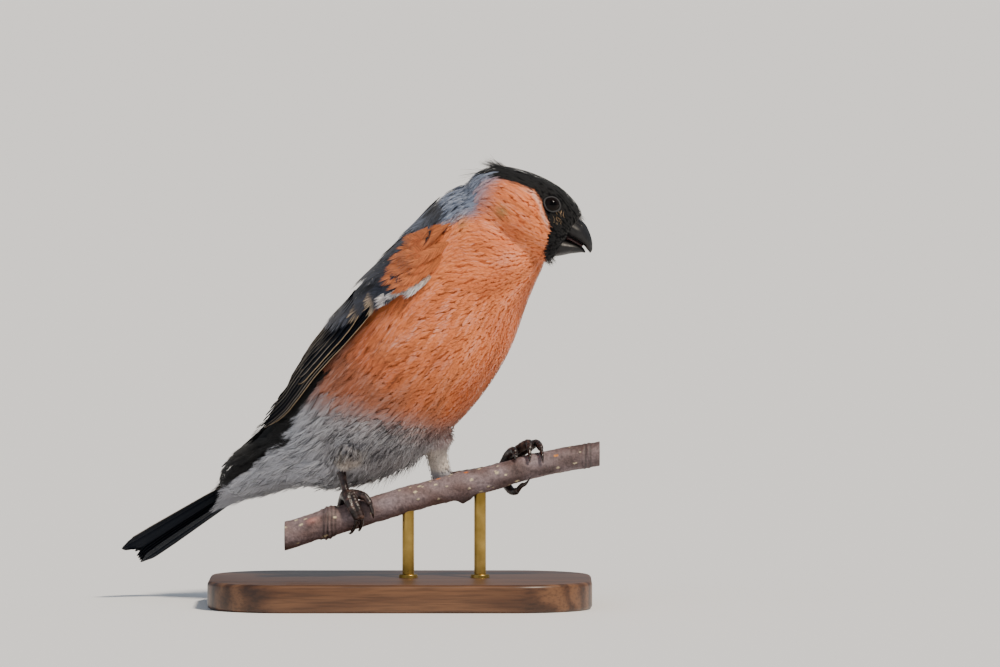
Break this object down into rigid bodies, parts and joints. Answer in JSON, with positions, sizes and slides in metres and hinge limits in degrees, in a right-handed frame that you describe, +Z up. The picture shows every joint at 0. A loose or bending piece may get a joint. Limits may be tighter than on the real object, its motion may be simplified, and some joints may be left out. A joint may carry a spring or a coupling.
{
  "type": "bullfinch on a perch",
  "caption": "Life-size still male bullfinch leaning forward on a cut length of branch, held by rods on a flat wooden base.",
  "frame": {"origin": "centre of the underside of the stand's base", "axes": "+X towards the bird's head side, along the perch and the base's long side; +Y away from the viewer; +Z up"},
  "size_m": [0.1212, 0.0715, 0.1105],
  "materials": {
    "orange_plumage": "soft salmon-orange contour feathers, matt with a silky sheen",
    "pale_down": "loose grey-white belly and vent feathers",
    "grey_plumage": "ash-grey covert and mantle feathers",
    "black_plumage": "glossy blue-black cap, flight and tail feathers",
    "bill": "smooth dark horn of the bill",
    "eye": "wet near-black eye",
    "leg_skin": "dark brown scaled skin",
    "claw": "black horn of the claws",
    "bark": "smooth grey-brown bark with pale lenticels",
    "stand_rod": "satin turned brass rod",
    "stand_wood": "oiled dark wood base"
  },
  "bodies": {
    "root": {"rump": "pale_down", "belly": "pale_down", "breast": "orange_plumage", "neck": "orange_plumage", "head": "black_plumage", "bill_upper": "bill", "bill_lower": "bill", "eye_left": "eye", "eye_right": "eye", "tail": "black_plumage", "wing_left_coverts": "grey_plumage", "wing_left_secondaries": "black_plumage", "wing_left_primaries": "black_plumage", "wing_right_coverts": "grey_plumage", "wing_right_secondaries": "black_plumage", "wing_right_primaries": "black_plumage", "leg_right_thigh": "pale_down", "leg_right_tarsus": "leg_skin", "foot_right": "leg_skin", "claw_right_1": "claw", "claw_right_2": "claw", "claw_right_3": "claw", "claw_right_4": "claw", "leg_left_thigh": "pale_down", "leg_left_tarsus": "leg_skin", "foot_left": "leg_skin", "claw_left_1": "claw", "claw_left_2": "claw", "claw_left_3": "claw", "claw_left_4": "claw", "perch": "bark", "stand_rod_1": "stand_rod", "stand_rod_2": "stand_rod", "stand_base": "stand_wood"}
  },
  "joints": []
}
